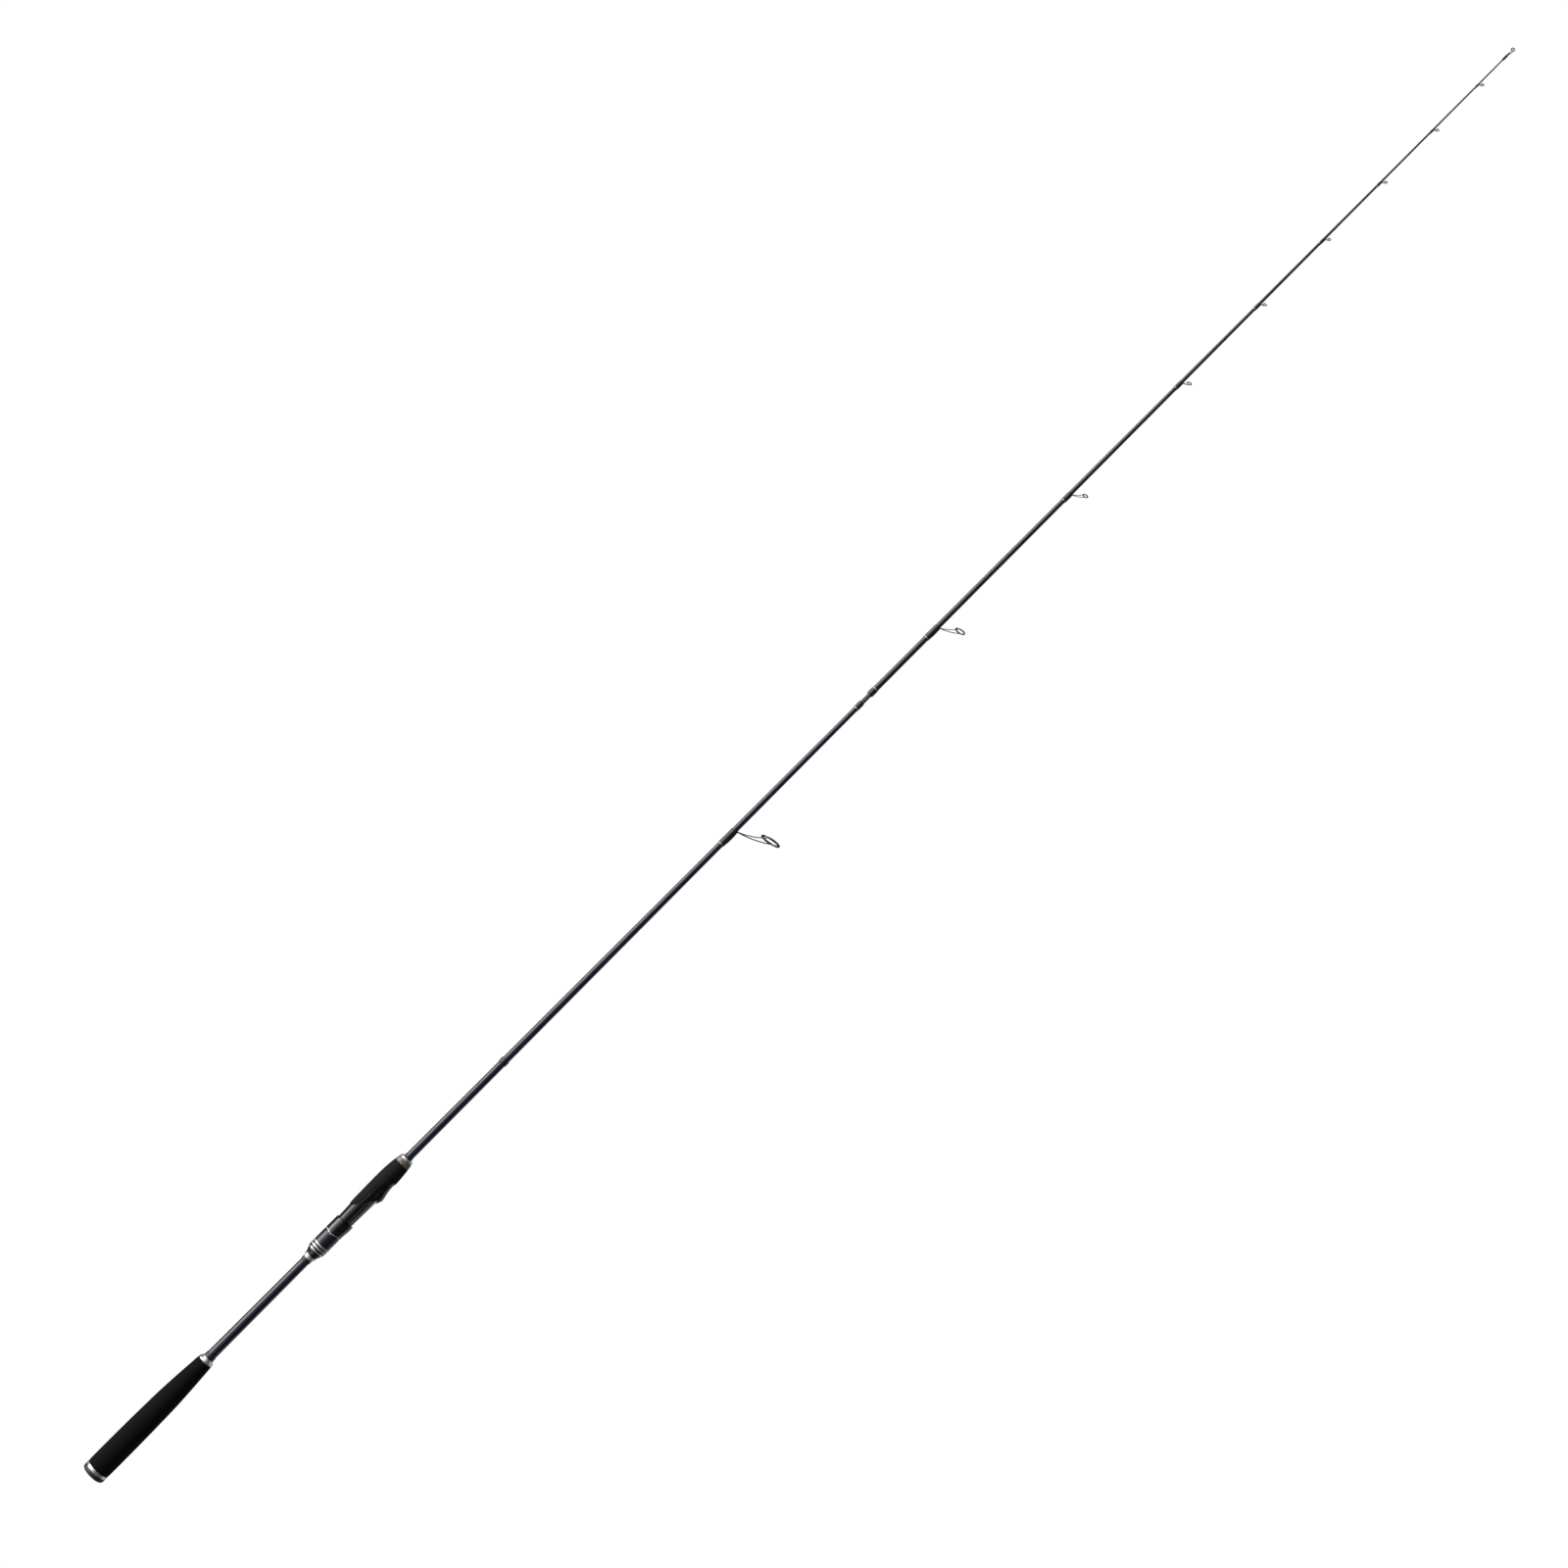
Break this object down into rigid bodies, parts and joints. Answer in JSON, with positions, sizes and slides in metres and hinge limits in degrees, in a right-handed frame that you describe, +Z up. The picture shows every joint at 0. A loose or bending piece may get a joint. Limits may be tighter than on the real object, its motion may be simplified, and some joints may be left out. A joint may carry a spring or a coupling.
{
  "type": "spinning rod",
  "caption": "Two-piece spinning rod with a foam rear grip, a screw-locking reel seat, single-foot guides and a plug-over ferrule that pulls apart.",
  "frame": {"origin": "centre of the butt cap's flat end, on the rod's axis", "axes": "+X along the rod from the butt to the tip; the guides and the reel are towards -Y; +Z is up when the rod lies on its side"},
  "size_m": [2.7401, 0.0742, 0.0306],
  "materials": {
    "butt_lacquer": "gloss clear coat over dark violet-black carbon tube",
    "tip_lacquer": "satin dark grey, with the fine spiral left by the wrapping tape",
    "thread": "black thread winding under epoxy",
    "cap_rubber": "matt moulded rubber",
    "grip_foam": "matt fine-grained foam",
    "bright_metal": "bright polished",
    "seat_gloss": "gloss black moulding",
    "nut_plastic": "satin black moulding",
    "composite": "grey-brown marbled composite",
    "arbor_board": "plain bushing, not seen",
    "guide_steel": "grey-plated steel",
    "ring_ceramic": "polished dark ceramic"
  },
  "bodies": {
    "butt_section": {"butt_blank": "butt_lacquer", "ferrule_wrap_butt": "thread", "thread_band": "thread", "butt_cap": "cap_rubber", "butt_ring": "bright_metal", "rear_grip": "grip_foam", "rear_grip_check": "bright_metal", "rear_grip_wrap": "thread", "seat_rear_wrap": "thread", "seat_rear_trim": "composite", "seat_rear_check": "bright_metal", "seat_tail_cone": "seat_gloss", "seat_tail_ring": "bright_metal", "seat_arbor_rear": "arbor_board", "seat_arbor_front": "arbor_board", "seat_body": "seat_gloss", "foot_bed_pad": "bright_metal", "foregrip": "grip_foam", "composite_ring": "composite", "front_check": "bright_metal", "seat_front_wrap": "thread", "guide_1_frame": "guide_steel", "guide_1_ring": "ring_ceramic", "guide_1_wrap": "thread"},
    "sliding_hood": {"sliding_hood": "seat_gloss", "hood_trim": "bright_metal"},
    "lock_nut": {"lock_nut": "nut_plastic", "nut_rings": "bright_metal"},
    "tip_section": {"tip_blank": "tip_lacquer", "ferrule_wrap_tip": "thread", "tip_top_frame": "guide_steel", "tip_top_ring": "ring_ceramic", "tip_top_wrap": "thread", "guide_2_frame": "guide_steel", "guide_2_ring": "ring_ceramic", "guide_2_wrap": "thread", "guide_3_frame": "guide_steel", "guide_3_ring": "ring_ceramic", "guide_3_wrap": "thread", "guide_4_frame": "guide_steel", "guide_4_ring": "ring_ceramic", "guide_4_wrap": "thread", "guide_5_frame": "guide_steel", "guide_5_ring": "ring_ceramic", "guide_5_wrap": "thread", "guide_6_frame": "guide_steel", "guide_6_ring": "ring_ceramic", "guide_6_wrap": "thread", "guide_7_frame": "guide_steel", "guide_7_ring": "ring_ceramic", "guide_7_wrap": "thread", "guide_8_frame": "guide_steel", "guide_8_ring": "ring_ceramic", "guide_8_wrap": "thread", "guide_9_frame": "guide_steel", "guide_9_ring": "ring_ceramic", "guide_9_wrap": "thread"}
  },
  "joints": [
    {"name": "hood_slide", "type": "slide", "parent": "butt_section", "child": "sliding_hood", "axis": [1, 0, 0], "range_m": [0, 0.01751]},
    {"name": "nut_turn", "type": "hinge", "parent": "sliding_hood", "child": "lock_nut", "pos_m": [0.3719, 0, 0], "axis": [1, 0, 0], "range_deg": [0, 3150]},
    {"name": "tip_pull", "type": "slide", "parent": "butt_section", "child": "tip_section", "axis": [1, 0, 0], "range_m": [0, 0.08]}
  ],
  "couplings": [
    {"joint": "nut_turn", "follows": "hood_slide", "rad_per_m": 3141.6}
  ]
}
